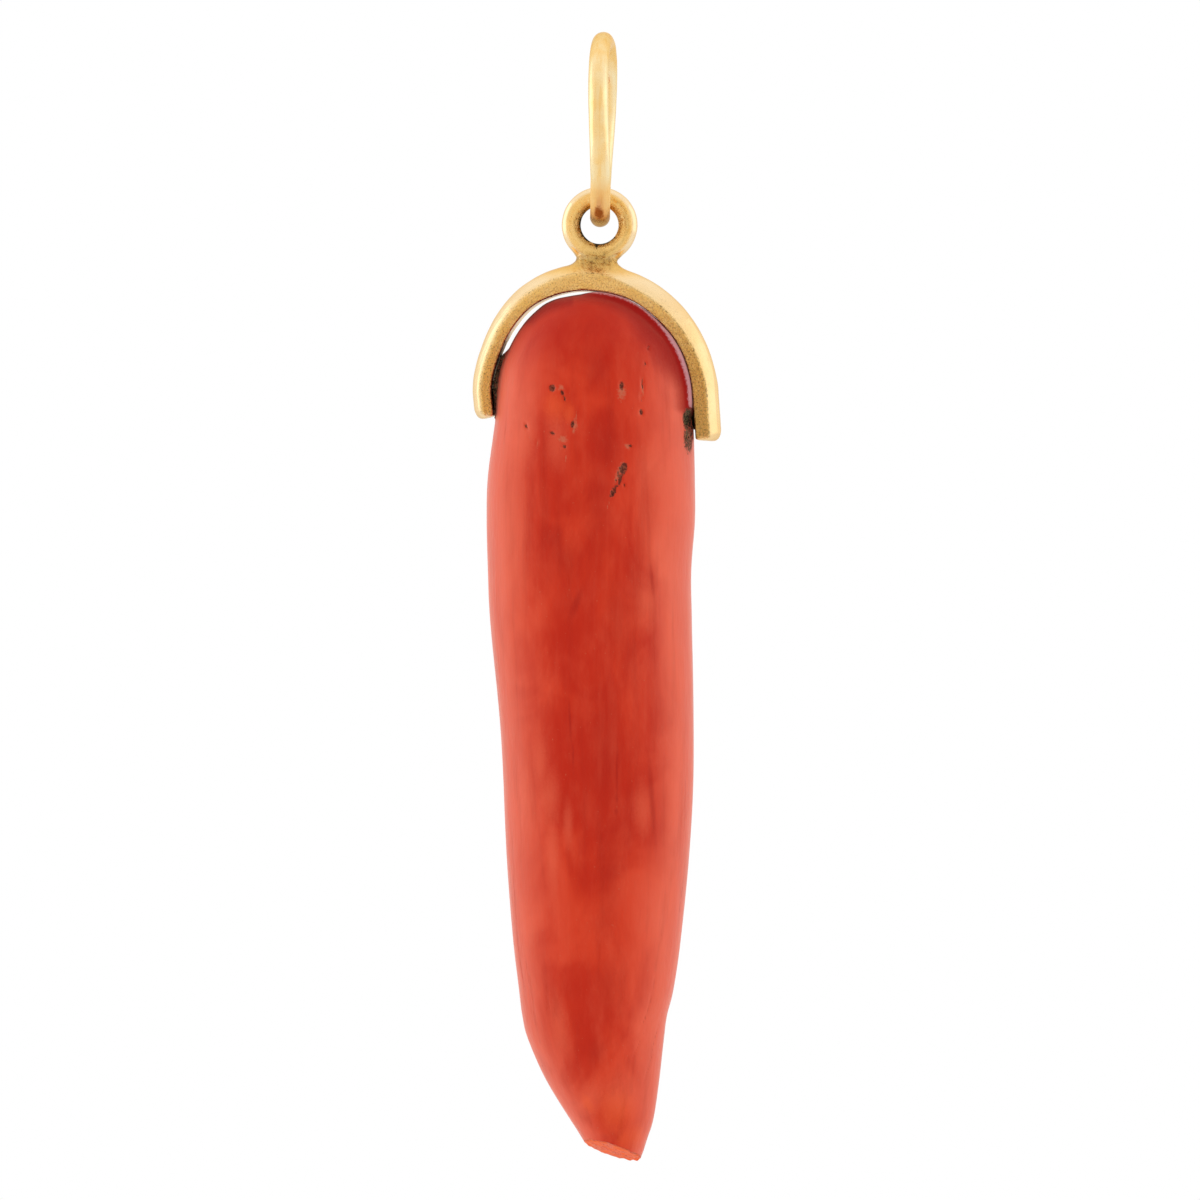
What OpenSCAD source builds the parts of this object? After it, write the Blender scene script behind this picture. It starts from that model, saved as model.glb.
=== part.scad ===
// Horn charm of natural red coral, held in a gold stirrup that hangs from a gold bail ring.
// Millimetres. +Z is up, +X is to the right as it is worn and -Y is the front.
// The origin is where a neck chain bears: the highest point of the bail ring's inner side.

/* [Bail ring] */
// Outside diameter of the bail ring
bail_outer_d = 9.75; // [8:0.05:13]
// Diameter of the bail ring's wire
bail_wire_d = 1.0; // [0.7:0.05:1.3]
// Turn of the bail ring about the vertical, away from square to the eye, in degrees
bail_turn = 1; // [0:1:10]

/* [Eye] */
// Diameter of the hole in the eye
eye_hole_d = 1.9; // [1.6:0.05:2.6]
// Diameter of the eye's wire
eye_wire_d = 0.95; // [0.7:0.05:1.3]
// Gap between the bail ring's wire and the eye that hangs on it
hang_gap = 0.05; // [0.03:0.01:0.12]
// Solder between the eye and the crown of the band
neck_h = 0.15; // [0.05:0.05:0.6]
// Width of the solder neck, seen from the front
neck_w = 1.9; // [1.4:0.05:2.2]
// Radius of the solder's hollow sides
neck_fillet_r = 0.55; // [0.4:0.05:0.7]

/* [Stirrup band] */
// Width of the band, from its front edge to its back edge
band_w = 2.2; // [1.8:0.1:4]
// Height of the band's flat edges
band_edge_h = 0.65; // [0.4:0.05:1]
// Height of the band's domed outer side above its flat edges
band_dome_h = 0.5; // [0.3:0.05:0.9]
// Least clearance between the band's inner side and the horn
horn_gap = 0.06; // [0.05:0.01:0.3]
// How far the crown of the arch lies left of the eye
crown_shift = 0.4; // [0:0.1:0.8]
// Straight length of the left leg
left_leg_h = 1.6; // [1.5:0.1:3]
// Straight length of the right leg
right_leg_h = 2.4; // [1.5:0.1:3]

/* [Cross pin] */
// Diameter of the pin through the horn
pin_d = 0.9; // [0.6:0.05:1.1]
// Height of the pin's axis above the end of each leg
pin_rise = 0.9; // [0.8:0.05:1.2]
// Depth to which the pin is let into each leg
pin_set = 0.7; // [0.4:0.05:0.75]
// Clearance round the pin and at its ends
pin_gap = 0.04; // [0.03:0.01:0.08]

/* [Horn] */
// Length of the horn, from its top to its broken tip
horn_len = 43.5; // [30:0.5:60]
// Width scale of the horn, seen from the front
horn_w = 10.4; // [8:0.1:13]
// Depth scale of the horn, from its front to its back
horn_d = 9.2; // [7:0.1:12]
// Lean of the broken tip, down to the right, in degrees
break_lean = 16; // [0:1:25]
// How far the broken tip faces the front, in degrees
break_tilt = 14; // [0:1:20]
// Number of sides round the horn
horn_sides = 40; // [24:4:48]
// Number of rings for each row of its tables
horn_steps = 3; // [2:1:3]

/* [Hidden] */

GOLD = "#dcae5a";
OLD_GOLD = "#b98a3c";
CORAL = "#cd4029";

// Columns of the tables of sections. DROP runs down from the row above the table,
// LEFT and RIGHT are the outline seen from the front, in shares of horn_w from the axis,
// and FRONT and BACK are the outline seen from the side, in shares of horn_d.
DROP = 0;
LEFT = 1;
RIGHT = 2;
FRONT = 3;
BACK = 4;

// The rounded head. DROP is a share of head_h, so the head stays round when horn_w changes.
HEAD_ROWS = [
    // DROP, LEFT, RIGHT, FRONT, BACK
    [0.000, -0.015, -0.015, 0.000, 0.000],
    [0.033, -0.165, 0.125, -0.160, 0.155],
    [0.080, -0.240, 0.188, -0.225, 0.220],
    [0.155, -0.300, 0.244, -0.280, 0.275],
    [0.286, -0.366, 0.310, -0.345, 0.340],
    [0.484, -0.430, 0.378, -0.410, 0.405],
    [0.718, -0.474, 0.422, -0.452, 0.448],
];

// The branch below the head. DROP is a share of its length down to the broken tip, and
// the last row lies past the break, which cuts it off.
BRANCH_ROWS = [
    // DROP, LEFT, RIGHT, FRONT, BACK
    [0.000, -0.493, 0.443, -0.475, 0.472],
    [0.024, -0.496, 0.448, -0.481, 0.478],
    [0.052, -0.516, 0.450, -0.487, 0.483],
    [0.105, -0.541, 0.453, -0.495, 0.491],
    [0.157, -0.546, 0.455, -0.500, 0.497],
    [0.223, -0.539, 0.438, -0.503, 0.497],
    [0.288, -0.529, 0.442, -0.500, 0.490],
    [0.393, -0.491, 0.450, -0.487, 0.475],
    [0.498, -0.463, 0.450, -0.466, 0.460],
    [0.603, -0.445, 0.426, -0.440, 0.443],
    [0.708, -0.418, 0.387, -0.403, 0.420],
    [0.786, -0.385, 0.339, -0.358, 0.388],
    [0.839, -0.346, 0.313, -0.315, 0.357],
    [0.891, -0.260, 0.286, -0.255, 0.312],
    [0.957, -0.115, 0.236, -0.165, 0.240],
    [1.000, -0.010, 0.188, -0.100, 0.180],
    [1.030, 0.066, 0.150, -0.045, 0.125],
];

// Height of the head for each millimetre of horn_w
head_share = 0.512;
// How far the solder's hollow sides run below the crown, to end inside the band's shoulders
neck_sink = 0.35;
// How far the solder runs on into the band and into the eye's wire
neck_bite = 0.15;
// Depth of the solder neck, as a share of the eye's wire
neck_depth_share = 0.9;
// Smoothness of the round parts
$fn = 96;

bail_in_r = bail_outer_d / 2 - bail_wire_d;
bail_r = bail_in_r + bail_wire_d / 2;

eye_r = (eye_hole_d + eye_wire_d) / 2;
eye_out_r = eye_hole_d / 2 + eye_wire_d;
eye_z = -2 * bail_in_r + hang_gap - eye_hole_d / 2;

band_t = band_edge_h + band_dome_h;
band_top_z = eye_z - eye_out_r - neck_h;
crown_z = band_top_z - band_t;
dome_r = (pow(band_w / 2, 2) + pow(band_dome_h, 2)) / (2 * band_dome_h);

head_h = head_share * horn_w;
branch_h = horn_len - head_h;

// The rows of both tables as edges in millimetres, with DROP measured from the horn's top
function edges(row, from, span) = [
    from + row[DROP] * span,
    row[LEFT] * horn_w,
    row[RIGHT] * horn_w,
    row[FRONT] * horn_d,
    row[BACK] * horn_d,
];
sections = [
    for (row = HEAD_ROWS) edges(row, 0, head_h),
    for (row = BRANCH_ROWS) edges(row, head_h, branch_h),
];
last_section = len(sections) - 1;

// A section above the top mirrors the first one below it, so the head is closed by a round pole
function section_at(i) =
    i < 0 ? mirrored_section(sections[0], sections[1]) : sections[min(i, last_section)];
function mirrored_section(pole, next) = [
    next[DROP],
    pole[LEFT] + pole[RIGHT] - next[LEFT],
    pole[LEFT] + pole[RIGHT] - next[RIGHT],
    -next[FRONT],
    -next[BACK],
];

// A smooth curve through the sections: i is the section above and t the way to the one below
function curve(a, b, c, d, t) =
    b + t * ((c - a) / 2 + t * ((a - 2.5 * b + 2 * c - d / 2) + t * (3 * (b - c) + d - a) / 2));
function section_between(i, t) =
    curve(section_at(i - 1), section_at(i), section_at(i + 1), section_at(i + 2), t);

// Sections of the finished skin below the pole, from the top down
skin = [
    for (i = [0:last_section - 1], k = [0:horn_steps - 1])
        if (i + k > 0) section_between(i, k / horn_steps),
    sections[last_section],
];

// Middle and half widths of a section, in X and Y
function middle(s) = [s[LEFT] + s[RIGHT], s[FRONT] + s[BACK]] / 2;
function half(s) = [s[RIGHT] - s[LEFT], s[BACK] - s[FRONT]] / 2;

// The widest that the horn is, to one side, between two depths below its top
function reach(column, from, to) = max([
    for (s = skin)
        if (s[DROP] >= from && s[DROP] <= to) abs(s[column]),
]);

// Each bend starts at the crown and ends in a leg that clears the horn down to the leg's end,
// which lies about half the horn's width and the leg's own length below the horn's top
left_in = reach(LEFT, 0, horn_w / 2 + left_leg_h - crown_shift) + horn_gap;
right_in = reach(RIGHT, 0, horn_w / 2 + right_leg_h + crown_shift) + horn_gap;
left_bend_r = left_in - crown_shift;
right_bend_r = right_in + crown_shift;
left_bend_z = crown_z - left_bend_r;
right_bend_z = crown_z - right_bend_r;
left_end_z = left_bend_z - left_leg_h;
right_end_z = right_bend_z - right_leg_h;

// How far the space that the horn may fill under the arch lies below the crown, at x
function arch_drop(x) =
    let (r = x < -crown_shift ? left_bend_r : right_bend_r)
        r - sqrt(max(0, pow(r - horn_gap, 2) - pow(x + crown_shift, 2)));

// The horn's top lies just so far below the crown that its head clears the whole arch
crown_gap = max([
    for (s = skin, x = [s[LEFT], s[RIGHT]]) arch_drop(x) - s[DROP],
]);
horn_top_z = crown_z - crown_gap;
horn_tip_z = horn_top_z - horn_len;

pin_left = [-left_in - pin_set, left_end_z + pin_rise];
pin_right = [right_in + pin_set, right_end_z + pin_rise];
pin_span = pin_right - pin_left;
pin_len = norm(pin_span);
pin_slope = atan2(-pin_span[1], pin_span[0]);

// Turns what is drawn flat in X and Y up to stand in X and Z
module upright() {
    rotate([90, 0, 0])
        children();
}

// Cross-section of the band: the inner side lies on Y and the crown of the dome points to +X
module band_section() {
    intersection() {
        translate([0, -band_w / 2])
            square([band_t, band_w]);
        translate([band_t - dome_r, 0])
            circle(r = dome_r);
    }
}

// A quarter bend of the band about the point in X and Z, from an angle above +X
module band_bend(centre_z, in_r, from) {
    translate([-crown_shift, 0, centre_z])
        upright()
            rotate_extrude(angle = 90, start = from)
                translate([in_r, 0])
                    band_section();
}

// A straight leg, with its inner side at x and its dome facing outwards
module band_leg(x, end_z, height) {
    translate([x, 0, end_z])
        rotate([0, 0, x < 0 ? 180 : 0])
            linear_extrude(height = height)
                band_section();
}

module band() {
    band_bend(left_bend_z, left_bend_r, 90);
    band_bend(right_bend_z, right_bend_r, 0);
    band_leg(-left_in, left_end_z, left_leg_h);
    band_leg(right_in, right_end_z, right_leg_h);
}

module eye() {
    translate([0, 0, eye_z])
        upright()
            rotate_extrude()
                translate([eye_r, 0])
                    circle(d = eye_wire_d);
}

// Outline of the solder neck, with Y = 0 on the crown's top and a hollow on each side
module neck_outline(width) {
    foot = -neck_sink - neck_bite;
    hollow_z = neck_fillet_r - neck_sink;
    translate([-width / 2, foot])
        square([width, neck_h + eye_wire_d / 2 - foot + neck_bite]);
    difference() {
        translate([-width / 2 - neck_fillet_r, foot])
            square([width + 2 * neck_fillet_r, hollow_z - foot]);
        for (side = [-1, 1])
            translate([side * (width / 2 + neck_fillet_r), hollow_z])
                circle(r = neck_fillet_r);
    }
}

module solder_neck() {
    translate([0, 0, band_top_z])
        intersection() {
            upright()
                linear_extrude(height = 2 * band_w, center = true)
                    neck_outline(neck_w);
            rotate([0, 0, 90])
                upright()
                    linear_extrude(height = 4 * neck_w, center = true)
                        neck_outline(eye_wire_d * neck_depth_share);
        }
}

// The pin's own space, or with a gap the bore that it lies in
module pin_space(gap) {
    middle = (pin_left + pin_right) / 2;
    translate([middle[0], 0, middle[1]])
        rotate([0, 90 + pin_slope, 0])
            cylinder(d = pin_d + 2 * gap, h = pin_len + 2 * gap, center = true);
}

// The skin as one closed surface: a pole, rings of horn_sides points and a flat end
module horn_skin() {
    function point(s, a) = [
        middle(s)[0] + half(s)[0] * cos(a),
        middle(s)[1] + half(s)[1] * sin(a),
        horn_top_z - s[DROP],
    ];
    function at(r, k) = 1 + r * horn_sides + k % horn_sides;
    points = [
        point(sections[0], 0),
        for (s = skin, k = [0:horn_sides - 1]) point(s, 360 * k / horn_sides),
    ];
    last_ring = len(skin) - 1;
    faces = [
        for (k = [0:horn_sides - 1]) [0, at(0, k + 1), at(0, k)],
        for (r = [0:last_ring - 1], k = [0:horn_sides - 1])
            each [
                [at(r, k), at(r, k + 1), at(r + 1, k)],
                [at(r, k + 1), at(r + 1, k + 1), at(r + 1, k)],
            ],
        [for (k = [0:horn_sides - 1]) at(last_ring, k)],
    ];
    polyhedron(points = points, faces = faces);
}

// Everything below the break, whose lowest edge is the lowest point of the horn
module below_break() {
    tip = sections[last_section - 1];
    edge_drop = norm([half(tip)[0] * tan(break_lean), half(tip)[1] * tan(break_tilt)]);
    translate([middle(tip)[0], middle(tip)[1], horn_tip_z + edge_drop])
        rotate([-break_tilt, break_lean, 0])
            translate([-horn_w / 2, -horn_d / 2, -horn_w])
                cube([horn_w, horn_d, horn_w]);
}

module bail_ring() {
    color(GOLD)
        translate([0, 0, -bail_in_r])
            rotate([0, 0, bail_turn])
                rotate([0, 90, 0])
                    rotate_extrude()
                        translate([bail_r, 0])
                            circle(d = bail_wire_d);
}

module stirrup_mount() {
    color(GOLD)
        difference() {
            union() {
                band();
                solder_neck();
                eye();
            }
            pin_space(pin_gap);
        }
}

module cross_pin() {
    color(OLD_GOLD)
        pin_space(0);
}

module coral_horn() {
    color(CORAL)
        difference() {
            horn_skin();
            pin_space(pin_gap);
            below_break();
        }
}

bail_ring();
stirrup_mount();
cross_pin();
coral_horn();
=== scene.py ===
import itertools
import math

import bmesh
import bpy
import numpy as np
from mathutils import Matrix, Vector, noise


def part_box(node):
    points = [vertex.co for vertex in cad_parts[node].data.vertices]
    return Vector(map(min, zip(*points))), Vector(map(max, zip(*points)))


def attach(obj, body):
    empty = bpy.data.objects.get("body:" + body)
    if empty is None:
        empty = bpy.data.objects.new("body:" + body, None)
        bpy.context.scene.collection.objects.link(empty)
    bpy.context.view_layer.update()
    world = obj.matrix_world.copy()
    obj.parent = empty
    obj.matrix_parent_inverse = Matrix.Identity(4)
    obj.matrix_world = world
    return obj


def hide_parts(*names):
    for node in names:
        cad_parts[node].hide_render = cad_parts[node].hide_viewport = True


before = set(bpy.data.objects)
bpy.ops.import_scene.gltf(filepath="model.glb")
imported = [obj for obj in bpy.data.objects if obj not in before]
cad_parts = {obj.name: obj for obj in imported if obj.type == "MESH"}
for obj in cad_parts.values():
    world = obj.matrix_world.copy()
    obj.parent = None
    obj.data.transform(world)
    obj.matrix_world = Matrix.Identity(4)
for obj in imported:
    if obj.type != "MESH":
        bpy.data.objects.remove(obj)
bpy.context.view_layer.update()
scene = bpy.context.scene

# Horn charm of red coral in a gold stirrup on a gold bail ring.
# Shapes are worked out in millimetres and made in metres. +X is to the right as seen from the
# front, -Y is the front and +Z is up. The origin is where a neck chain bears.
MM = 0.001
CAMERA_AZIMUTH = math.radians(3)
CAMERA_DISTANCE = 500
CAMERA_AIM_Z = -27.4


def box_of(node):
    """Lowest and highest corner of a CAD node, in millimetres."""
    low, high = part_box(node)
    return np.array(low) / MM, np.array(high) / MM


ring_low, ring_high = box_of("bail_ring")
mount_low, mount_high = box_of("stirrup_mount")


# Numbers and arrays


def blend(low, high, share):
    return low + (high - low) * share


def between_rows(padded, places):
    """Rows blended smoothly; place 2.5 lies halfway between rows 2 and 3 of the table.

    The table has one more row at each end, which only bends the curve there."""
    index = np.clip(np.floor(places).astype(int), 0, len(padded) - 4)
    t = (places - index)[..., None]
    a, b, c, d = (padded[index + k] for k in range(4))
    bend = (a - 2.5 * b + 2 * c - d / 2) + t * (1.5 * (b - c) + (d - a) / 2)
    return b + t * ((c - a) / 2 + t * bend)


def rise(low, high, value):
    """0 below low, 1 above high, and a smooth rise between them."""
    share = np.clip((value - low) / (high - low), 0.0, 1.0)
    return share * share * (3.0 - 2.0 * share)


def soft_min(a, b, width):
    """The lesser of two fields, with a fillet about as wide as width where they meet."""
    share = np.clip(0.5 + 0.5 * (b - a) / width, 0.0, 1.0)
    return b + (a - b) * share - width * share * (1.0 - share)


def soft_max(a, b, width):
    return -soft_min(-a, -b, width)


def bumps(points, size, shift=0.0):
    """Smooth noise from about -1 to 1 at each point. Size is the size of a bump, or three sizes."""
    places = points / np.array(size) + shift
    return np.array([noise.noise(Vector(p)) for p in places])


def round_nearness(points, middle, size):
    """1 at the middle of a round mark, 0 at its edge and less beyond it."""
    return 1.0 - np.linalg.norm((points - middle) / size, axis=1)


# Meshes


def new_piece(name, points, faces, *materials):
    """A smooth mesh object at the origin. Points are in millimetres."""
    mesh = bpy.data.meshes.new(name)
    mesh.from_pydata((np.asarray(points) * MM).tolist(), [], faces)
    mesh.polygons.foreach_set("use_smooth", [True] * len(mesh.polygons))
    for material in materials:
        mesh.materials.append(material)
    piece = bpy.data.objects.new(name, mesh)
    scene.collection.objects.link(piece)
    return piece


def vertex_rows(piece, what):
    """The co or the normal of the piece's vertices, one row for each."""
    flat = np.empty(len(piece.data.vertices) * 3)
    piece.data.vertices.foreach_get(what, flat)
    return flat.reshape(-1, 3)


def points_of(piece):
    """The piece's vertices in millimetres."""
    return vertex_rows(piece, "co") / MM


def turned_aside(piece):
    """How far each vertex's surface is turned away from the front and the back, from 0 to 1."""
    return 1.0 - np.abs(vertex_rows(piece, "normal")[:, 1])


def set_masks(piece, **masks):
    """Keeps one number for each vertex under each name, for the piece's material to read."""
    for name, values in masks.items():
        layer = piece.data.attributes.new(name, "FLOAT", "POINT")
        layer.data.foreach_set("value", np.asarray(values, np.float32))


def plain_mesh(piece):
    """Bakes the piece's modifiers into a plain mesh, and removes them."""
    graph = bpy.context.evaluated_depsgraph_get()
    mesh = bpy.data.meshes.new_from_object(piece.evaluated_get(graph), depsgraph=graph)
    piece.modifiers.clear()
    piece.data = mesh
    mesh.name = piece.name
    mesh.polygons.foreach_set("use_smooth", [True] * len(mesh.polygons))
    return piece


def slope_of(field, points, reach=0.01):
    """The field's slope at each point."""
    steps = np.eye(3) * reach
    return np.stack([field(points + s) - field(points - s) for s in steps], axis=1) / (2 * reach)


def quads_across(inside, cells, axis):
    """A quad for each grid edge along the axis that crosses the surface, turned outwards."""
    count = inside.shape[axis]
    here = np.take(inside, range(count - 1), axis)
    there = np.take(inside, range(1, count), axis)
    at = np.argwhere(here != there)
    across, up = np.eye(3, dtype=int)[[(axis + 1) % 3, (axis + 2) % 3]]
    corners = [at, at - across, at - across - up, at - up]
    quads = np.stack([cells[tuple(c.T)] for c in corners], axis=1)
    outward = here[tuple(at.T)]
    quads[~outward] = quads[~outward][:, ::-1]
    return quads


def skin_of(field, low, high, step):
    """Points and quads of the closed surface where the field is zero; it is negative inside."""
    spans = [np.arange(a - 3 * step, b + 3 * step, step) for a, b in zip(low, high)]
    grid = np.stack(np.meshgrid(*spans, indexing="ij"), axis=-1)
    inside = field(grid.reshape(-1, 3)).reshape(grid.shape[:3]) < 0
    sides = [(slice(None, -1), slice(1, None))] * 3
    full = sum(inside[corner].astype(int) for corner in itertools.product(*sides))
    mixed = (full > 0) & (full < 8)
    cells = np.full(mixed.shape, -1)
    cells[mixed] = np.arange(mixed.sum())
    points = grid[:-1, :-1, :-1][mixed] + step / 2
    quads = np.concatenate([quads_across(inside, cells, axis) for axis in range(3)])
    return settle(field, points, quads, step), quads


def settle(field, points, quads, step, rounds=5):
    """Evens out the points and moves them onto the field's zero."""
    for turn in range(rounds):
        middles = points[quads].mean(axis=1)
        total = np.zeros_like(points)
        uses = np.bincount(quads.ravel(), minlength=len(points))
        for axis in range(3):
            weights = np.repeat(middles[:, axis], 4)
            total[:, axis] = np.bincount(quads.ravel(), weights, len(points))
        points = blend(points, total / uses[:, None], 0.7)
        for again in range(2):
            slope = slope_of(field, points)
            size = np.maximum((slope**2).sum(axis=1), 0.05)
            move = -slope * (field(points) / size)[:, None]
            points = points + np.clip(move, -step, step)
    return points


# Nodes


def feed(tree, socket, value):
    """Links another node's output to the socket, or sets the socket's own value."""
    if isinstance(value, bpy.types.NodeSocket):
        tree.links.new(value, socket)
    else:
        socket.default_value = value


def add_node(tree, kind, sockets=(), **settings):
    """A node of that kind. Sockets maps an input to its value or to what is linked to it."""
    made = tree.nodes.new(kind)
    for name, value in settings.items():
        setattr(made, name, value)
    for key, value in dict(sockets).items():
        feed(tree, made.inputs[key], value)
    return made


class Paint:
    """One material with a glossy shader, and the nodes that feed it. Sizes are in millimetres."""

    def __init__(self, name, **surface):
        self.material = bpy.data.materials.new(name)
        self.material.use_nodes = True
        self.tree = self.material.node_tree
        self.tree.nodes.clear()
        self.surface = self.add("ShaderNodeBsdfPrincipled")
        self.set(**surface)
        self.add("ShaderNodeOutputMaterial", {"Surface": self.surface.outputs[0]})
        self.place = self.add("ShaderNodeTexCoord").outputs["Object"]

    def add(self, kind, sockets=(), **settings):
        return add_node(self.tree, kind, sockets, **settings)

    def set(self, **sockets):
        """Links or sets the shader's own sockets, with _ for a space in their names."""
        for name, value in sockets.items():
            feed(self.tree, self.surface.inputs[name.replace("_", " ")], value)

    def mapped(self, size, shift=(0, 0, 0)):
        """Object coordinates with size millimetres, along each axis, as one."""
        scale = [1 / (s * MM) for s in (size if hasattr(size, "__len__") else (size,) * 3)]
        node = self.add("ShaderNodeMapping", {"Vector": self.place, "Scale": scale, "Location": shift})
        return node.outputs[0]

    def noise(self, size, detail=2.0, rough=0.5, twist=0.0, shift=(0, 0, 0)):
        """Smooth noise from 0 to 1. Size is the size of a bump, or three sizes."""
        sockets = {"Vector": self.mapped(size, shift), "Scale": 1.0, "Detail": detail}
        sockets.update({"Roughness": rough, "Distortion": twist})
        return self.add("ShaderNodeTexNoise", sockets).outputs[0]

    def mask(self, name):
        return self.add("ShaderNodeAttribute", attribute_name=name).outputs["Fac"]

    def math(self, operation, a, b=0.0, clamp=False):
        return self.add("ShaderNodeMath", {0: a, 1: b}, operation=operation, use_clamp=clamp).outputs[0]

    def sum(self, a, b):
        return self.math("ADD", a, b)

    def times(self, a, b):
        return self.math("MULTIPLY", a, b)

    def most(self, a, b):
        return self.math("MAXIMUM", a, b)

    def ramp(self, value, low, high, start=0.0, end=1.0):
        """Start below low, end above high, and a smooth change between them."""
        sockets = {0: value, 1: low, 2: high, 3: start, 4: end}
        return self.add("ShaderNodeMapRange", sockets, interpolation_type="SMOOTHSTEP").outputs[0]

    def mix(self, share, a, b):
        return self.add("ShaderNodeMix", {0: share, 6: a, 7: b}, data_type="RGBA").outputs[2]

    def layers(self, colour, *coats):
        """The colour with coats over it, from the lowest up. A coat is its share and its colour."""
        for share, top in coats:
            colour = self.mix(share, colour, top)
        return colour

    def set_relief(self, *heights):
        """Bumps over one another. Each is a height and its depth in millimetres from 0 to 1."""
        under = {}
        for height, depth in heights:
            sockets = {"Height": height, "Distance": depth * MM, "Strength": 1.0, **under}
            under = {"Normal": self.add("ShaderNodeBump", sockets).outputs[0]}
        self.set(**under)


class Tree:
    """A Geometry Nodes tree with named inputs."""

    def __init__(self, name, takes_mesh=False):
        self.tree = bpy.data.node_groups.new(name, "GeometryNodeTree")
        self.tree.interface.new_socket("Geometry", in_out="OUTPUT", socket_type="NodeSocketGeometry")
        if takes_mesh:
            self.tree.interface.new_socket("Geometry", in_out="INPUT", socket_type="NodeSocketGeometry")
        self.values = {}
        self.entry = self.tree.nodes.new("NodeGroupInput")

    def input(self, label, value, kind="NodeSocketFloat"):
        """A named input, whose value the modifier is given by the socket's identifier."""
        socket = self.tree.interface.new_socket(label, in_out="INPUT", socket_type=kind)
        self.values[socket.identifier] = value
        return self.entry.outputs[label]

    def add(self, kind, sockets=(), output=0, **settings):
        """One of the outputs of a new node of that kind."""
        return add_node(self.tree, kind, sockets, **settings).outputs[output]

    def math(self, operation, a, b=0.0):
        return self.add("ShaderNodeMath", {0: a, 1: b}, operation=operation)

    def finish(self, shape, material):
        """Ends the tree in real geometry with its material."""
        shape = self.add("GeometryNodeSetShadeSmooth", {"Geometry": shape})
        shape = self.add("GeometryNodeRealizeInstances", {"Geometry": shape})
        shape = self.add("GeometryNodeSetMaterial", {"Geometry": shape, "Material": material})
        self.tree.links.new(shape, self.tree.nodes.new("NodeGroupOutput").inputs[0])

    def grow(self, piece):
        """Runs the tree on the piece, whose mesh becomes what the tree made."""
        modifier = piece.modifiers.new(self.tree.name, "NODES")
        modifier.node_group = self.tree
        for identifier, value in self.values.items():
            modifier[identifier] = value
        return plain_mesh(piece)


# Materials

DEEP_CORAL = (0.55, 0.020, 0.005, 1)
WARM_CORAL = (0.70, 0.048, 0.014, 1)
PALE_CORAL = (0.82, 0.125, 0.060, 1)
# Painted sheen: the paler coral laid on the horn's sides, where they turn away from the front and back.
PAINTED_SHEEN_CORAL = (0.92, 0.190, 0.112, 1)
DARK_STREAK = (0.34, 0.012, 0.006, 1)
# Dark red of the streaks and of the darker patches, which are partly painted shade.
STAIN_AND_SHADE = (0.36, 0.008, 0.004, 1)
SHEEN_PINK = (1.0, 0.50, 0.38, 1)
FRESH_CORAL = (0.95, 0.135, 0.030, 1)
BROKEN_PINK = (0.90, 0.24, 0.145, 1)
CHALK = (0.58, 0.20, 0.11, 1)
# Painted shade: the deep red where the band shades the horn beside it.
SHADED_CORAL = (0.33, 0.001, 0.0005, 1)
# Painted shade: the darker red of the head under the band's arch.
SHADED_HEAD_CORAL = (0.50, 0.010, 0.0015, 1)
# Painted highlight: the pale strip of reflection along the horn's edge fitted to the band.
EDGE_SHINE = (0.60, 0.28, 0.31, 1)
PIT_BLACK = (0.035, 0.016, 0.012, 1)
PIT_BROWN = (0.22, 0.065, 0.035, 1)
SOIL_BLACK = (0.006, 0.007, 0.005, 1)
SOIL_GREEN = (0.20, 0.17, 0.08, 1)
SOIL_BROWN = (0.24, 0.09, 0.04, 1)
PALE_GOLD = (1.0, 0.76, 0.39, 1)
GOLD = (1.0, 0.68, 0.28, 1)
# Painted highlight on the domes of the eye and the band.
DOME_HIGHLIGHT_GOLD = (1.0, 0.80, 0.52, 1)
# Painted highlight on the sides of the ring's wire.
CREAM_HIGHLIGHT_GOLD = (1.0, 0.93, 0.66, 1)
ORANGE_GOLD = (0.97, 0.59, 0.18, 1)
DULL_GOLD = (0.97, 0.57, 0.145, 1)
LOW_GOLD = (0.93, 0.50, 0.17, 1)
# Painted shade under the bottom of the ring.
LOW_SHADE_GOLD = (0.50, 0.28, 0.10, 1)
OLIVE_GOLD = (0.46, 0.30, 0.09, 1)
SOLDER_BROWN = (0.30, 0.16, 0.055, 1)
GOLD_DIRT = (0.07, 0.045, 0.02, 1)
EDGE_GOLD = (0.85, 0.70, 0.46, 1)
SOFT_EDGE_GOLD = (0.85, 0.72, 0.55, 1)
TARNISH = (0.44, 0.13, 0.02, 1)


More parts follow.
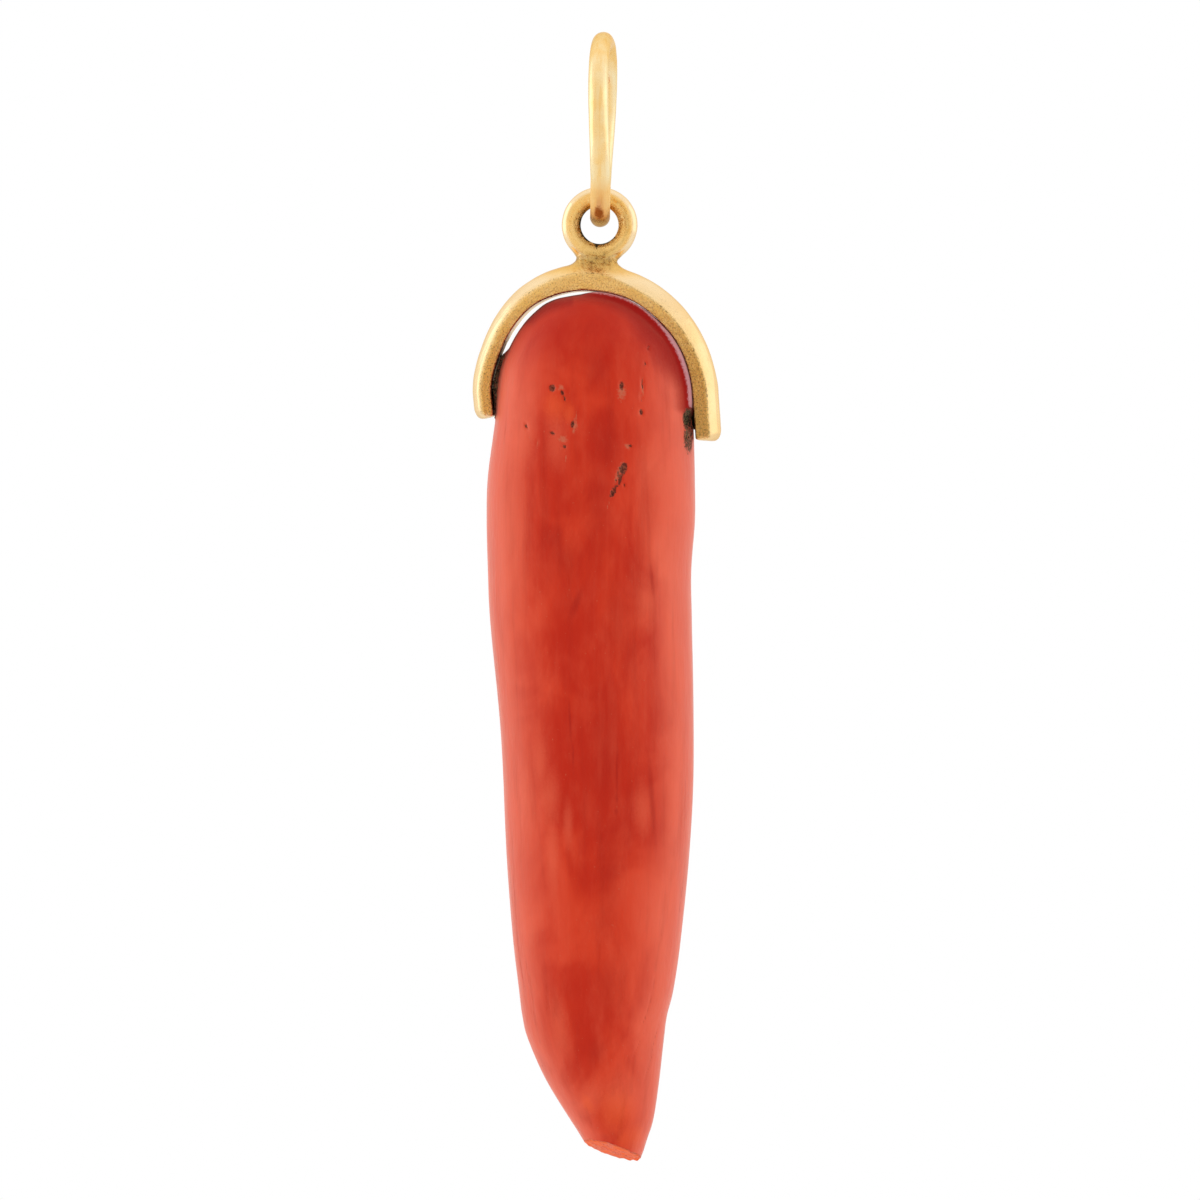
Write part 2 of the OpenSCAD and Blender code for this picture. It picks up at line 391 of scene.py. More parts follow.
class Coral(Paint):
    """Polished red coral, with the noises that its marks share."""

    def __init__(self):
        super().__init__("red_coral", IOR=1.5, Specular_IOR_Level=0.1)
        self.set(Subsurface_Weight=0.15, Subsurface_Scale=0.4 * MM, Subsurface_Radius=(1.0, 0.25, 0.12))
        self.set(Sheen_Weight=0.32, Sheen_Roughness=0.45, Sheen_Tint=SHEEN_PINK)
        self.clouds = self.noise((2.6, 2.6, 5.0), 3, twist=0.8)
        self.patches = self.noise((0.9, 0.9, 2.0), 4, 0.6, shift=(7, 3, 1))
        self.streaks = self.noise((0.8, 0.8, 10.0), 4, 0.55, shift=(2, 5, 0))
        self.fibres = self.noise((0.11, 0.11, 2.5), 3, 0.6, shift=(4, 1, 9))
        self.grain = self.noise(0.09)
        self.ragged = self.math("SUBTRACT", self.noise(0.13, 4, 0.65, shift=(1, 2, 3)), 0.5)
        self.on_head = self.math("SUBTRACT", 1.0, self.mask("below_head"))

    def marked(self, name, low, high, unevenness, share=1.0):
        """Share of the mark at each place, with an uneven edge."""
        field = self.sum(self.mask(name), self.times(self.ragged, unevenness))
        return self.ramp(field, low, high, 0.0, share)

    def skin(self):
        """Cloudy red, with a painted sheen on its sides and painted shade on its head, and streaks
        along the branch.
        """
        cloudy = self.times(self.math("SUBTRACT", self.clouds, 0.5), 0.25)
        # Painted sheen on the sides that turn away from the front and back, below the head.
        painted_sheen = self.ramp(self.sum(self.mask("flank"), cloudy), 0.0, 0.46, 0.0, 0.6)
        specks = self.noise(0.11, 1, 0.4, shift=(8, 8, 2))
        return self.layers(
            self.mix(self.ramp(self.clouds, 0.3, 0.7), DEEP_CORAL, WARM_CORAL),
            (self.ramp(self.patches, 0.4, 0.8, 0.0, 0.18), PALE_CORAL),
            # Darker patches, partly painted shade down the middle of the front, and paler patches,
            # partly painted sheen on its sides.
            (self.marked("deep", 0.0, 1.1, 0.4, 0.35), STAIN_AND_SHADE),
            (self.marked("pale", 0.0, 1.0, 0.4, 0.5), PALE_CORAL),
            (self.times(painted_sheen, self.mask("below_head")), PAINTED_SHEEN_CORAL),
            (self.ramp(self.streaks, 0.5, 0.3, 0.0, 0.18), DARK_STREAK),
            (self.ramp(self.streaks, 0.52, 0.75, 0.0, 0.14), PALE_CORAL),
            (self.ramp(self.fibres, 0.5, 0.75, 0.0, 0.05), DARK_STREAK),
            (self.ramp(specks, 0.76, 0.8, 0.0, 0.35), CHALK),
            (self.marked("streak", 0.0, 0.9, 0.5, 0.45), STAIN_AND_SHADE),
            (self.marked("fresh", 0.0, 0.9, 0.5, 0.28), FRESH_CORAL),
            # Painted shade on the head under the band.
            (self.times(self.on_head, 0.8), SHADED_HEAD_CORAL),
        )

    def broken_face(self):
        facets = self.mix(self.ramp(self.grain, 0.35, 0.65), WARM_CORAL, BROKEN_PINK)
        return self.mix(self.ramp(self.patches, 0.44, 0.58), FRESH_CORAL, facets)

    def soil(self):
        earth = self.mix(self.ramp(self.patches, 0.46, 0.54), SOIL_BROWN, SOIL_GREEN)
        grainy = self.mix(self.ramp(self.grain, 0.42, 0.6), SOIL_BLACK, earth)
        return self.mix(self.marked("soil", 0.45, 0.75, 0.6), grainy, SOIL_BLACK)


def paint_coral():
    """The skin, the broken tip, painted shade and a painted highlight by the band, worm holes with
    chalky rims, and dirt round the pin's mouths."""
    paint = Coral()
    # Painted shade beside the band and a painted highlight along the horn's edge fitted to it.
    shade = paint.marked("rim_shade", 0.0, 0.8, 0.15)
    shine = paint.marked("rim_shine", 0.3, 0.65, 0.8)
    hole = paint.marked("pit", 0.0, 0.4, 1.1, 0.85)
    soiled = paint.marked("soil", 0.1, 0.4, 1.4)
    colour = paint.layers(
        paint.skin(),
        (paint.marked("broken", 0.1, 0.7, 0.2), paint.broken_face()),
        (shade, SHADED_CORAL),
        (shine, EDGE_SHINE),
        (paint.marked("chalk", 0.1, 0.8, 2.2, 0.55), CHALK),
        (hole, paint.mix(paint.ramp(paint.grain, 0.4, 0.62), PIT_BLACK, PIT_BROWN)),
        (soiled, paint.soil()),
    )
    dull = paint.most(paint.most(hole, soiled), paint.marked("broken", 0.2, 0.8, 0.2))
    matt = paint.most(dull, paint.math("SUBTRACT", shade, shine, clamp=True))
    matt = paint.most(matt, paint.times(paint.on_head, 0.7))
    gloss = paint.ramp(paint.streaks, 0.3, 0.7, 0.27, 0.36)
    paint.set(Base_Color=colour, Roughness=paint.sum(gloss, paint.times(matt, 0.5)))
    paint.set_relief((paint.streaks, 0.02), (paint.fibres, 0.005), (paint.patches, 0.04), (dull, -0.05))
    return paint.material


def paint_ring():
    """Polished gold wire with fine lines along it, a painted highlight on its sides, darker gold low
    down with painted shade under its bottom, and a red-brown stain where it wears.
    """
    paint = Paint("polished_gold", Specular_Tint=EDGE_GOLD)
    lines = paint.noise((0.06, 0.3, 1.6), 3, 0.6)
    bands = paint.noise((0.16, 0.6, 4.0), shift=(6, 2, 5))
    clouds = paint.noise(0.9, 3, 0.55, shift=(3, 1, 2))
    ragged = paint.times(paint.noise(0.14, 3), 0.9)
    worn = paint.ramp(paint.sum(paint.mask("tarnish"), ragged), 0.5, 1.1)
    colour = paint.layers(
        paint.mix(paint.ramp(clouds, 0.35, 0.7), PALE_GOLD, GOLD),
        (paint.ramp(bands, 0.5, 0.72, 0.0, 0.6), ORANGE_GOLD),
        # Painted highlight in cream on the sides of the wire.
        (paint.times(paint.mask("pale_sides"), 0.55), CREAM_HIGHLIGHT_GOLD),
        (paint.times(paint.mask("rubbed"), 0.6), ORANGE_GOLD),
        (paint.times(paint.mask("low"), 0.8), LOW_GOLD),
        # Painted shade under the bottom of the wire.
        (paint.mask("under"), LOW_SHADE_GOLD),
        (worn, TARNISH),
    )
    dull = paint.most(worn, paint.mask("rubbed"))
    gloss = paint.ramp(clouds, 0.3, 0.7, 0.2, 0.3)
    paint.set(Base_Color=colour, Metallic=paint.ramp(dull, 0.0, 1.0, 1.0, 0.6))
    paint.set(Roughness=paint.sum(gloss, paint.times(dull, 0.25)))
    paint.set_relief((lines, 0.006), (bands, 0.02), (clouds, 0.02))
    return paint.material


def paint_mount():
    """Worn gold: a painted highlight on the domes, granular and speckled sides, olive in the eye that
    is partly painted shade, dirt in the eye's hole and the solder, and darker along the band's inner
    face.
    """
    paint = Paint("worn_gold", Metallic=1.0, Specular_Tint=SOFT_EDGE_GOLD)
    clouds = paint.noise(1.1, 3, 0.55, shift=(2, 6, 1))
    grain = paint.noise(0.12, 4, 0.7, shift=(5, 5, 5))
    specks = paint.noise(0.085, 3, 0.6, shift=(9, 2, 4))
    green = paint.noise(0.3, shift=(1, 9, 6))
    lumps = paint.noise((0.26, 0.3, 0.34), 4, 0.6, twist=0.4, shift=(3, 3, 8))
    rough_side = paint.mask("granular")
    solder = paint.mask("solder")
    soiled = paint.ramp(paint.sum(paint.mask("dirt"), paint.times(grain, 1.6)), 0.95, 1.5)
    speckled = paint.times(paint.ramp(specks, 0.51, 0.64), rough_side)
    dull = paint.most(rough_side, paint.times(paint.mask("dull"), 0.55))
    dull = paint.times(dull, paint.ramp(grain, 0.3, 0.58, 0.25, 1.0))
    colour = paint.layers(
        paint.mix(paint.ramp(clouds, 0.35, 0.7), GOLD, ORANGE_GOLD),
        # Painted highlight on the domes of the eye's outer rim and of the band.
        (paint.times(paint.mask("dome"), 0.85), DOME_HIGHLIGHT_GOLD),
        (dull, DULL_GOLD),
        # Olive in the eye: partly dirt, partly painted shade.
        (paint.times(paint.mask("olive"), paint.ramp(grain, 0.3, 0.6, 0.1, 0.45)), OLIVE_GOLD),
        (paint.times(paint.ramp(grain, 0.5, 0.64, 0.0, 0.4), paint.mask("pitted")), SOLDER_BROWN),
        (paint.times(speckled, 0.7), SOLDER_BROWN),
        (paint.times(solder, 0.8), DULL_GOLD),
        (paint.times(solder, 0.6), OLIVE_GOLD),
        (paint.times(paint.ramp(lumps, 0.42, 0.72, 0.0, 0.7), solder), SOLDER_BROWN),
        (soiled, paint.mix(paint.ramp(green, 0.4, 0.6), GOLD_DIRT, SOIL_BLACK)),
    )
    gloss = paint.ramp(rough_side, 0.0, 1.0, 0.2, 0.36)
    paint.set(Base_Color=colour, Roughness=paint.sum(gloss, paint.times(soiled, 0.35)))
    coarse = paint.times(grain, dull)
    paint.set_relief((coarse, 0.09), (paint.times(lumps, solder), -0.12), (clouds, 0.03))
    return paint.material


PIN_DIRT_STARTS = 4.1
PIN_DIRT_FULL = 4.7


def paint_pin():
    """Dull gold of the hidden pin, with lines along it and dirt on its ends."""
    paint = Paint("pin_gold", Metallic=1.0)
    lines = paint.noise((2.0, 0.08, 0.08), 3)
    along = paint.add("ShaderNodeSeparateXYZ", {0: paint.mapped(1.0)}).outputs["X"]
    dirt = paint.ramp(paint.math("ABSOLUTE", along), PIN_DIRT_STARTS, PIN_DIRT_FULL)
    colour = paint.mix(paint.ramp(lines, 0.35, 0.7), GOLD, ORANGE_GOLD)
    paint.set(Base_Color=paint.mix(dirt, colour, SOIL_BLACK))
    paint.set(Roughness=paint.ramp(dirt, 0.0, 1.0, 0.36, 0.8))
    paint.set_relief((lines, 0.008))
    return paint.material


# Bail ring: wire bent round, which leans a little and is twisted above its lowest fifth

ring_centre_z = (ring_low[2] + ring_high[2]) / 2
ring_out_r = (ring_high[2] - ring_low[2]) / 2
ring_wire_r = ring_high[2] / 2
RING_LEAN = 0.021
RING_TURN = 0.052
RING_TWIST = 0.105
TWIST_START = 0.2


def bent_ring_tree(material):
    """A ring of wire that stands in the YZ plane, with its own lean, twist and wear."""
    tree = Tree("bent_ring")
    radius = tree.input("Ring radius", (ring_out_r - ring_wire_r) * MM)
    wire = tree.input("Wire radius", ring_wire_r * MM)
    middle = tree.input("Height of the middle", ring_centre_z * MM)
    lean = tree.input("Lean", RING_LEAN)
    low_turn = tree.input("Turn at the bottom", RING_TURN)
    twist = tree.input("Twist above its low part", RING_TWIST)
    wear = tree.input("Wear", 0.035 * MM)

    path = tree.add("GeometryNodeCurvePrimitiveCircle", {"Resolution": 320, "Radius": radius})
    upright = {"Geometry": path, "Rotation": (0.0, math.pi / 2, 0.0)}
    path = tree.add("GeometryNodeTransform", upright)
    place = tree.add("ShaderNodeSeparateXYZ", {0: tree.add("GeometryNodeInputPosition")})
    across, height = place.node.outputs["Y"], place.node.outputs["Z"]
    above_low = tree.math("ADD", height, radius)
    share = tree.math("DIVIDE", above_low, tree.math("MULTIPLY", radius, 2.0))
    twisted = tree.math("MAXIMUM", tree.math("SUBTRACT", share, TWIST_START), 0.0)
    turn = tree.math("SUBTRACT", low_turn, tree.math("MULTIPLY", twisted, twist))
    leaning = tree.math("MULTIPLY", above_low, lean)
    aside = tree.math("SUBTRACT", leaning, tree.math("MULTIPLY", turn, across))
    shift = tree.add("ShaderNodeCombineXYZ", {"X": aside, "Z": middle})
    path = tree.add("GeometryNodeSetPosition", {"Geometry": path, "Offset": shift})

    profile = tree.add("GeometryNodeCurvePrimitiveCircle", {"Resolution": 48, "Radius": wire})
    tube = tree.add("GeometryNodeCurveToMesh", {"Curve": path, "Profile Curve": profile})
    slow = tree.add("ShaderNodeTexNoise", {"Scale": 1 / (1.6 * MM), "Detail": 2.0})
    worn = tree.math("MULTIPLY", tree.math("SUBTRACT", slow, 0.5), wear)
    normal = tree.add("GeometryNodeInputNormal")
    dent = tree.add("ShaderNodeVectorMath", {0: normal, "Scale": worn}, operation="SCALE")
    tube = tree.add("GeometryNodeSetPosition", {"Geometry": tube, "Offset": dent})
    tree.finish(tube, material)
    return tree


TARNISH_SPOT = np.array([0.06, -2.30, -8.16])
TARNISH_SIZE = np.array([0.36, 1.3, 0.50])


def make_ring():
    gold = paint_ring()
    ring = bent_ring_tree(gold).grow(new_piece("gold_bail_ring", [], [], gold))
    points, aside = points_of(ring), turned_aside(ring)
    height = points[:, 2]
    low = rise(-7.6, -8.6, height)
    rubbed = rise(-6.2, -7.2, height) * rise(-8.7, -8.0, height)
    # Where the painted highlight on the sides shows: less where the wire is rubbed, none at the top.
    highlight_reach = (1.0 - 0.9 * rubbed) * rise(-0.1, -1.2, height)
    set_masks(
        ring,
        tarnish=round_nearness(points, TARNISH_SPOT, TARNISH_SIZE),
        low=low,
        # Painted shade under the bottom of the wire, where it turns down.
        under=low * rise(0.55, 0.9, aside),
        rubbed=rubbed,
        # Painted highlight on the sides of the wire.
        pale_sides=highlight_reach * rise(0.1, 0.5, aside),
    )
    return ring


# Stirrup mount: a half-round band bent over the horn, with the eye soldered on its crown

BAND_HALF_W = mount_high[1]
ARCH_X = -0.45
ARCH_Z = -17.0
TURN, INNER, FLAT, OUTER = range(4)
BAND_ROWS = np.array([
    # TURN, INNER, FLAT, OUTER: degrees right of the crown, then distances from the arch's centre
    # of the inner face, of the edge between flat side and dome, and of the dome
    [-90, 4.95, 5.53, 5.93],
    [-68, 4.89, 5.46, 5.93],
    [-52, 4.99, 5.58, 6.09],
    [-35, 5.13, 5.78, 6.31],
    [-15, 5.10, 5.90, 6.42],
    [4, 5.02, 5.89, 6.38],
    [22, 5.00, 5.60, 6.33],
    [40, 4.93, 5.52, 6.28],
    [60, 4.97, 5.54, 6.25],
    [77, 5.02, 5.65, 6.28],
    [90, 5.11, 5.82, 6.38],
])
RIGHT_LEG_FLARE = 0.07
LEFT_LEG_LEAN = 0.10
LEFT_EDGE_ROUND = 0.20
RIGHT_EDGE_ROUND = 0.08
LEFT_END_Z = -18.20
RIGHT_END_Z = mount_low[2]
LEFT_END_SLOPE = 0.24
RIGHT_END_SLOPE = 0.07

EYE_CENTRE = np.array([-0.02, 0.0, -8.65])
EYE_R = 1.42
EYE_WIRE_R = 0.475
EYE_WORN_HALF = 0.465
SOLDER_CENTRE = np.array([-0.16, 0.0, -10.50])
SOLDER_HALF = np.array([0.68, 0.34, 0.12])
SOLDER_ROUND = 0.18
SOLDER_SLANT = 0.07
SOLDER_REACH = np.array([1.25, 1.0, 0.5])
PIN_GAP = 0.04
CRACK = np.array([-0.14, -0.4, -9.62])
CRACK_SIZE = np.array([0.08, 0.4, 0.22])
BELOW_SOLDER_Z = -11
MOUNT_STEP = 0.06
ROOM_FOR_FLARE = 0.3


def pin_line():
    """Middle, direction, half length and radius of the cross pin."""
    low, high = box_of("cross_pin")
    pin = points_of(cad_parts["cross_pin"])
    middle = (low + high) / 2
    spread = np.linalg.svd(pin - pin.mean(axis=0), full_matrices=False)[2]
    return middle, spread[0], np.abs((pin - middle) @ spread[0]).max(), (high[1] - low[1]) / 2


PIN_MIDDLE, PIN_WAY, PIN_HALF_LENGTH, PIN_R = pin_line()


def pin_hole_field(points):
    """The blind hole round the pin; it is negative inside."""
    offset = points - PIN_MIDDLE
    along = offset @ PIN_WAY
    away = np.linalg.norm(offset - along[:, None] * PIN_WAY, axis=1)
    return np.maximum(away - PIN_R, np.abs(along) - PIN_HALF_LENGTH) - PIN_GAP


def arch_place(points):
    """Distance from the arch's centre, or from its middle below it, and the turn from the crown."""
    across = points[:, 0] - ARCH_X
    above = points[:, 2] - ARCH_Z
    across = across + np.where(across > 0, RIGHT_LEG_FLARE, LEFT_LEG_LEAN) * np.minimum(above, 0.0)
    up = np.maximum(above, 0.0)
    return np.hypot(across, up), np.degrees(np.arctan2(across, up))


def band_row(turn):
    """The band's three distances from the arch's centre at each turn."""
    places = np.interp(turn, BAND_ROWS[:, TURN], np.arange(len(BAND_ROWS)))
    padded = np.vstack([BAND_ROWS[0], BAND_ROWS, BAND_ROWS[-1]])
    rows = between_rows(padded, places)
    return rows[:, INNER], rows[:, FLAT], rows[:, OUTER]


def band_field(points):
    away, turn = arch_place(points)
    inner, flat, outer = band_row(turn)
    depth = away - inner
    share = np.clip(depth / (outer - inner), 0.0, 1.0)
    dome = outer - (outer - flat) * (points[:, 1] / BAND_HALF_W) ** 2
    left_end = LEFT_END_Z - LEFT_END_SLOPE * depth
    right_end = RIGHT_END_Z - RIGHT_END_SLOPE * depth
    end_z = np.where(turn < 0, left_end, right_end)
    edge = blend(LEFT_EDGE_ROUND, RIGHT_EDGE_ROUND, rise(-40, 10, turn))
    shape = soft_max(away - dome, np.abs(points[:, 1]) - BAND_HALF_W, edge)
    shape = soft_max(shape, -depth, 0.08)
    return soft_max(shape, end_z - points[:, 2], blend(0.10, 0.7, share))


def eye_field(points):
    x, y, z = (points - EYE_CENTRE).T
    wire = np.hypot(np.hypot(x, z) - EYE_R, y) - EYE_WIRE_R
    return soft_max(wire, np.abs(y) - EYE_WORN_HALF, 0.1)


def solder_field(points):
    offset = points - SOLDER_CENTRE
    offset[:, 2] += SOLDER_SLANT * offset[:, 0]
    beyond = np.abs(offset) - SOLDER_HALF
    outside = np.linalg.norm(np.maximum(beyond, 0.0), axis=1)
    return outside + np.minimum(beyond.max(axis=1), 0.0) - SOLDER_ROUND


def mount_field(points):
    top = soft_min(eye_field(points), solder_field(points), 0.12)
    whole = soft_min(top, band_field(points), 0.8)
    return soft_max(whole, -pin_hole_field(points), 0.03)


def mount_relief(points, flat, near_solder):
    """Wear of the whole mount, the grain of its flat sides and the lumps of its solder."""
    relief = 0.008 * bumps(points, 0.5)
    relief += 0.016 * flat * bumps(points, 0.16, 5.0)
    away, turn = arch_place(points)
    along_band = np.stack([away, turn, points[:, 1]], axis=1)
    relief += 0.010 * bumps(along_band, (0.11, 22.0, 0.3), 3.0) * (points[:, 2] < BELOW_SOLDER_Z)
    lumps = 0.07 * bumps(points, (0.45, 0.4, 0.5), 2.0)
    return relief + near_solder * (lumps + 0.03 * bumps(points, 0.2, 8.0))


def mount_dirt(points, near_solder):
    """Where the mount is darker: dirt in the eye's hole, the crack and the solder, a darkening along
    the band's inner face, most on the legs, and a dark line along the dome's edge.
    """
    from_eye = points - EYE_CENTRE
    reach = np.hypot(from_eye[:, 0], from_eye[:, 2])
    bore = EYE_R - EYE_WIRE_R
    ragged = 0.09 * bumps(points, 0.25, 14.0)
    in_bore = rise(bore + 0.14, bore - 0.02, reach + ragged)
    low_left = rise(-0.7, 0.7, -(from_eye[:, 0] + from_eye[:, 2]) / 1.4)
    crack = np.exp(-(((points - CRACK) / CRACK_SIZE) ** 2).sum(axis=1))
    away, turn = arch_place(points)
    inner, flat_end, _ = band_row(turn)
    on_band = points[:, 2] < BELOW_SOLDER_Z
    # Darker along the band's inner face beside the horn, most on the legs and most on the left.
    hollow = rise(0.12, -0.05, away - inner) * on_band
    hollow *= blend(0.1, 1.0, rise(40, 65, np.abs(turn)))
    at_side = rise(BAND_HALF_W - 0.25, BAND_HALF_W - 0.05, np.abs(points[:, 1]))
    # A dark line along the edge between the flat side and the dome.
    line = np.exp(-(((away - flat_end) / 0.06) ** 2)) * at_side * on_band
    line *= blend(0.7, 1.0, rise(10, 30, turn))
    dirt = blend(0.3, 1.0, low_left) * in_bore + crack + 0.3 * near_solder
    return dirt + blend(0.5, 0.75, rise(-50, -64, turn)) * hollow + 0.32 * line


def mark_eye_and_dome(mount, points, flat):
    """Masks of the eye's dull part, of its olive part, which is partly dirt and partly painted shade,
    and of the painted highlight on the domes of the eye and the band.
    """
    x, _, height = points.T
    from_eye = np.hypot(x - EYE_CENTRE[0], height - EYE_CENTRE[2])
    outer_rim = rise(EYE_R + 0.15, EYE_R + 0.32, from_eye)
    on_eye = rise(-10.6, -10.0, height)
    across = np.stack([from_eye, x, height], axis=1)
    streaky = np.clip(0.5 + 0.9 * bumps(across, (0.09, 0.9, 0.9), 6.0), 0.1, 1.0)
    to_right = rise(-0.4, 0.4, x)
    # Olive inside the eye on its left and a thin line round its right: partly dirt, partly painted
    # shade.
    inside = rise(EYE_R + 0.02, EYE_R - 0.3, from_eye) * (1.0 - to_right)
    line = np.exp(-(((from_eye - EYE_R) / 0.08) ** 2)) * to_right
    # Painted highlight on the band's dome, weaker on the right.
    band_dome_highlight = (1.0 - flat) * rise(-10.8, -11.6, height)
    band_dome_highlight *= blend(1.0, 0.55, rise(2.0, 5.0, x))
    set_masks(
        mount,
        dull=on_eye * (1.0 - outer_rim) * streaky,
        olive=on_eye * np.clip((inside + line) * (0.7 + 0.6 * streaky), 0.0, 1.0),
        dome=np.where(height > -10.4, outer_rim, band_dome_highlight),
    )


def make_mount():
    low, high = mount_low.copy(), mount_high.copy()
    high[0] += ROOM_FOR_FLARE
    points, quads = skin_of(mount_field, low, high, MOUNT_STEP)
    outward = slope_of(mount_field, points)
    outward /= np.linalg.norm(outward, axis=1)[:, None]
    flat = np.abs(outward[:, 1]) ** 6
    near_solder = np.exp(-(((points - SOLDER_CENTRE) / SOLDER_REACH) ** 2).sum(axis=1))
    relief = mount_relief(points, flat, near_solder)
    points = points + outward * relief[:, None]

    mount = new_piece("gold_stirrup", points, quads.tolist(), paint_mount())
    legs = rise(-11.2, -16.5, points[:, 2])
    set_masks(
        mount,
        granular=flat * rise(-9.9, -11.2, points[:, 2]) * blend(0.55, 1.0, legs),
        pitted=flat * rise(2.0, 5.0, points[:, 0]) * legs,
        dirt=mount_dirt(points, near_solder),
        solder=np.clip(1.5 * near_solder, 0.0, 1.0),
    )
    mark_eye_and_dome(mount, points, flat)
    return mount


# Horn: a branch of coral, cut round at the top and broken off at its tip

AT, LEFT, RIGHT = range(3)
HORN_ROWS = np.array([
    # AT, LEFT, RIGHT, FRONT, BACK: height, then the four edges, in millimetres
    [-12.07, -0.35, -0.35, 0.00, 0.00],
    [-12.25, -1.85, 0.85, -1.32, 1.30],
    [-12.50, -2.62, 1.47, -1.98, 1.94],
    [-12.90, -3.17, 2.11, -2.50, 2.47],
    [-13.60, -3.84, 2.93, -3.12, 3.09],
    [-14.65, -4.50, 3.84, -3.75, 3.71],
    [-15.90, -4.99, 4.38, -4.15, 4.12],
    [-17.40, -5.19, 4.60, -4.37, 4.34],
    [-18.30, -5.24, 4.65, -4.43, 4.40],
    [-19.40, -5.38, 4.69, -4.48, 4.44],
    [-21.40, -5.63, 4.72, -4.55, 4.52],
    [-23.40, -5.68, 4.73, -4.60, 4.57],
    [-25.90, -5.61, 4.56, -4.63, 4.57],
    [-28.40, -5.50, 4.60, -4.60, 4.51],
    [-32.40, -5.11, 4.68, -4.48, 4.37],
    [-36.40, -4.82, 4.68, -4.29, 4.23],
    [-40.40, -4.63, 4.43, -4.05, 4.08],
    [-44.40, -4.35, 4.02, -3.71, 3.86],
    [-46.90, -4.07, 3.64, -3.38, 3.63],
    [-48.20, -3.90, 3.32, -3.14, 3.46],
    [-49.40, -3.60, 3.18, -2.90, 3.28],
    [-51.40, -2.70, 2.96, -2.35, 2.87],
    [-53.30, -1.58, 2.66, -1.72, 2.38],
    [-54.40, -0.87, 2.31, -1.30, 1.98],
    [-55.55, -0.10, 1.94, -0.92, 1.62],
    [-56.70, 0.69, 1.50, -0.41, 1.10],
])
HORN_SIDES = 216
FINE_STEP = 0.10
COARSE_STEP = 0.20
FRONT_CROWDING = 0.5
CAP_RINGS = 22

BREAK_MIDDLE = np.array([0.6, 0.3, -55.0])
BREAK_LEAN = math.tan(math.radians(16))
BREAK_TILT = math.tan(math.radians(14))


def horn_edges(places):
    """Edges of the horn at each place down its table."""
    first = HORN_ROWS[1].copy()
    first[LEFT:] = 2 * HORN_ROWS[0][LEFT:] - HORN_ROWS[1][LEFT:]
    return between_rows(np.vstack([first, HORN_ROWS, HORN_ROWS[-1]]), places)


def horn_skin(places, angles):
    """Points of the branch at each place down its table and angle round it."""
    at, left, right, front, back = np.moveaxis(horn_edges(places), -1, 0)
    x = (left + right) / 2 + (right - left) / 2 * np.cos(angles)
    y = (front + back) / 2 + (back - front) / 2 * np.sin(angles)
    return np.stack([x, y, at], axis=-1)


def break_height(points):
    """Height of the broken face at each point's X and Y: a leaning plane with shell-shaped steps."""
    offset = points - BREAK_MIDDLE
    plane = BREAK_MIDDLE[2] - BREAK_LEAN * offset[..., 0] - BREAK_TILT * offset[..., 1]
    spots = (points * (1, 1, 0)).reshape(-1, 3)
    steps = 0.16 * np.abs(bumps(spots, 0.8, 3.0)) + 0.07 * np.abs(bumps(spots, 0.35, 7.0))
    return plane + steps.reshape(plane.shape)


def ring_places():
    """Places of the rings down the horn: close together on the head and at the tip."""
    dense = np.linspace(0.0, len(HORN_ROWS) - 1.0, 6000)
    rows = horn_edges(dense)
    path = np.hypot(np.diff(rows[:, AT]), np.diff(rows[:, LEFT] - rows[:, RIGHT]) / 2)
    height = rows[1:, AT]
    calm = rise(-23.0, -26.0, height) * rise(-54.5, -51.5, height)
    count = np.concatenate([[0.0], np.cumsum(path / blend(FINE_STEP, COARSE_STEP, calm))])
    return np.interp(np.arange(1.0, count[-1]), count, dense)


def broken_rim(places, angles):
    """Place down the table at which each side of the horn meets the broken face."""
    tries = np.linspace(len(HORN_ROWS) - 5.0, len(HORN_ROWS) - 1.0, 160)
    points = horn_skin(*np.meshgrid(tries, angles, indexing="ij"))
    above = points[..., 2] - break_height(points)
    first = np.argmax(above < 0, axis=0)
    sides = np.arange(len(angles))
    high, low = above[first - 1, sides], above[first, sides]
    return tries[first - 1] + (tries[first] - tries[first - 1]) * high / (high - low)


def horn_grid():
    """Points of the horn ring by ring, from below the pole down to the rim and over the broken face."""
    turns = np.linspace(0.0, 2 * math.pi, HORN_SIDES, endpoint=False)
    angles = turns - FRONT_CROWDING * np.cos(turns)
    places = ring_places()
    rim = broken_rim(places, angles)
    start, end = len(HORN_ROWS) - 6.0, places[-1]
    share = np.clip((places - start) / (end - start), 0.0, None)[:, None]
    mesh_places = np.where(share > 0, start + share * (rim - start), places[:, None])
    wall = horn_skin(mesh_places, np.broadcast_to(angles, mesh_places.shape))
    rim_points = wall[-1]
    middle = rim_points.mean(axis=0)
    shares = 1.0 - np.arange(1, CAP_RINGS) / CAP_RINGS
    cap = middle + (rim_points - middle) * shares[:, None, None]
    cap[..., 2] = break_height(cap)
    middle[2] = break_height(middle[None])[0]
    return wall, cap, middle


def ring_faces(rings, sides):
    """Quads between rings of points that start at index 1, turned outwards."""
    here = 1 + np.arange(rings - 1)[:, None] * sides + np.arange(sides)
    beside = np.roll(here, -1, axis=1)
    return np.stack([here, here + sides, beside + sides, beside], axis=-1).reshape(-1, 4).tolist()


